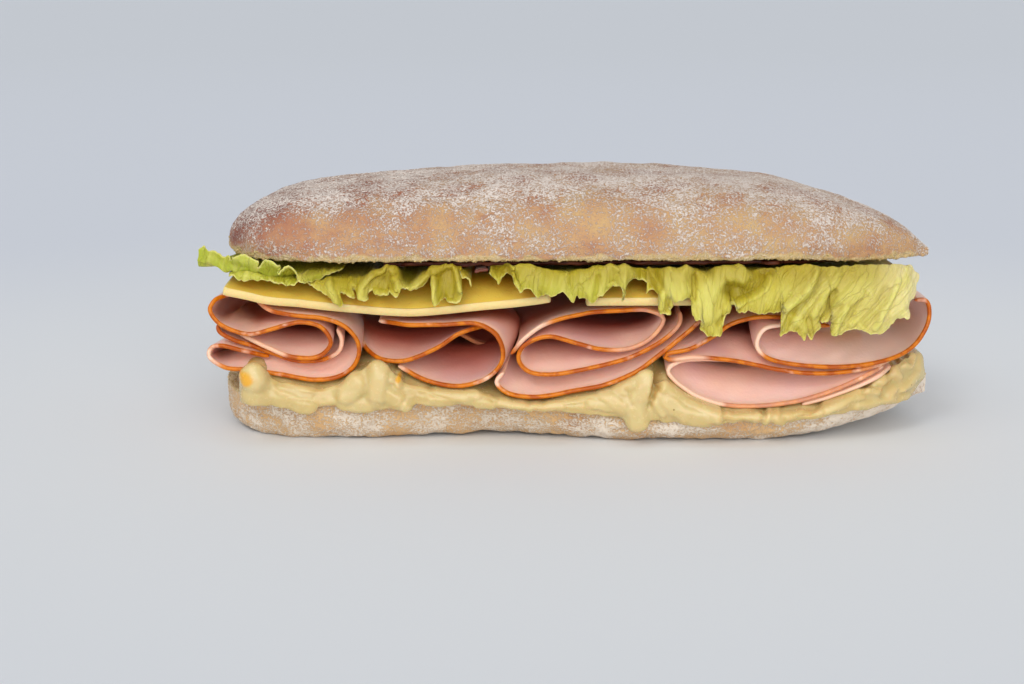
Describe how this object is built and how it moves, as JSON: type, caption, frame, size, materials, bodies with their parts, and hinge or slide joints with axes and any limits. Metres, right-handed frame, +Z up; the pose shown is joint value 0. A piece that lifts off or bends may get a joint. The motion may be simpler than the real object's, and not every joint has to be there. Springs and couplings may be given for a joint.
{
  "type": "ciabatta sandwich",
  "caption": "Long ciabatta roll split in two and filled with folded ham, sliced cheese, lettuce leaves and egg mayonnaise.",
  "frame": {"origin": "middle of the sandwich's footprint, on the surface that it rests on", "axes": "+X along the loaf towards its pointed end, -Y towards the open side that shows most filling, +Z up"},
  "size_m": [0.2143, 0.0891, 0.0758],
  "materials": {
    "crust": "matt baked crust, dusted with flour, with a pale crumb at the cut",
    "mayo": "glossy egg mayonnaise with chopped egg white and yolk",
    "ham": "moist cooked ham with a browned rim",
    "cheese": "smooth, slightly waxy sliced cheese",
    "lettuce": "thin, slightly shiny leaf that lets light through",
    "dark": "dark, moist, thin layer",
    "shaving": "moist shaved meat with a dark edge"
  },
  "bodies": {
    "root": {"bread_top": "crust", "bread_bottom": "crust", "egg_mayonnaise": "mayo", "ham_left_outer": "ham", "ham_left_roll": "ham", "ham_left_liner": "ham", "ham_middle_outer": "ham", "ham_middle_inner": "ham", "ham_middle_liner": "ham", "ham_centre_roll": "ham", "ham_centre_outer": "ham", "ham_right_fold": "ham", "ham_right_upper": "ham", "ham_right_lower": "ham", "ham_right_under": "ham", "cheese_left": "cheese", "cheese_right": "cheese", "lettuce_left_tip": "lettuce", "lettuce_left_low": "lettuce", "lettuce_left_ruffle": "lettuce", "lettuce_middle": "lettuce", "lettuce_right": "lettuce", "dark_layer": "dark", "meat_shaving": "shaving"}
  },
  "joints": []
}
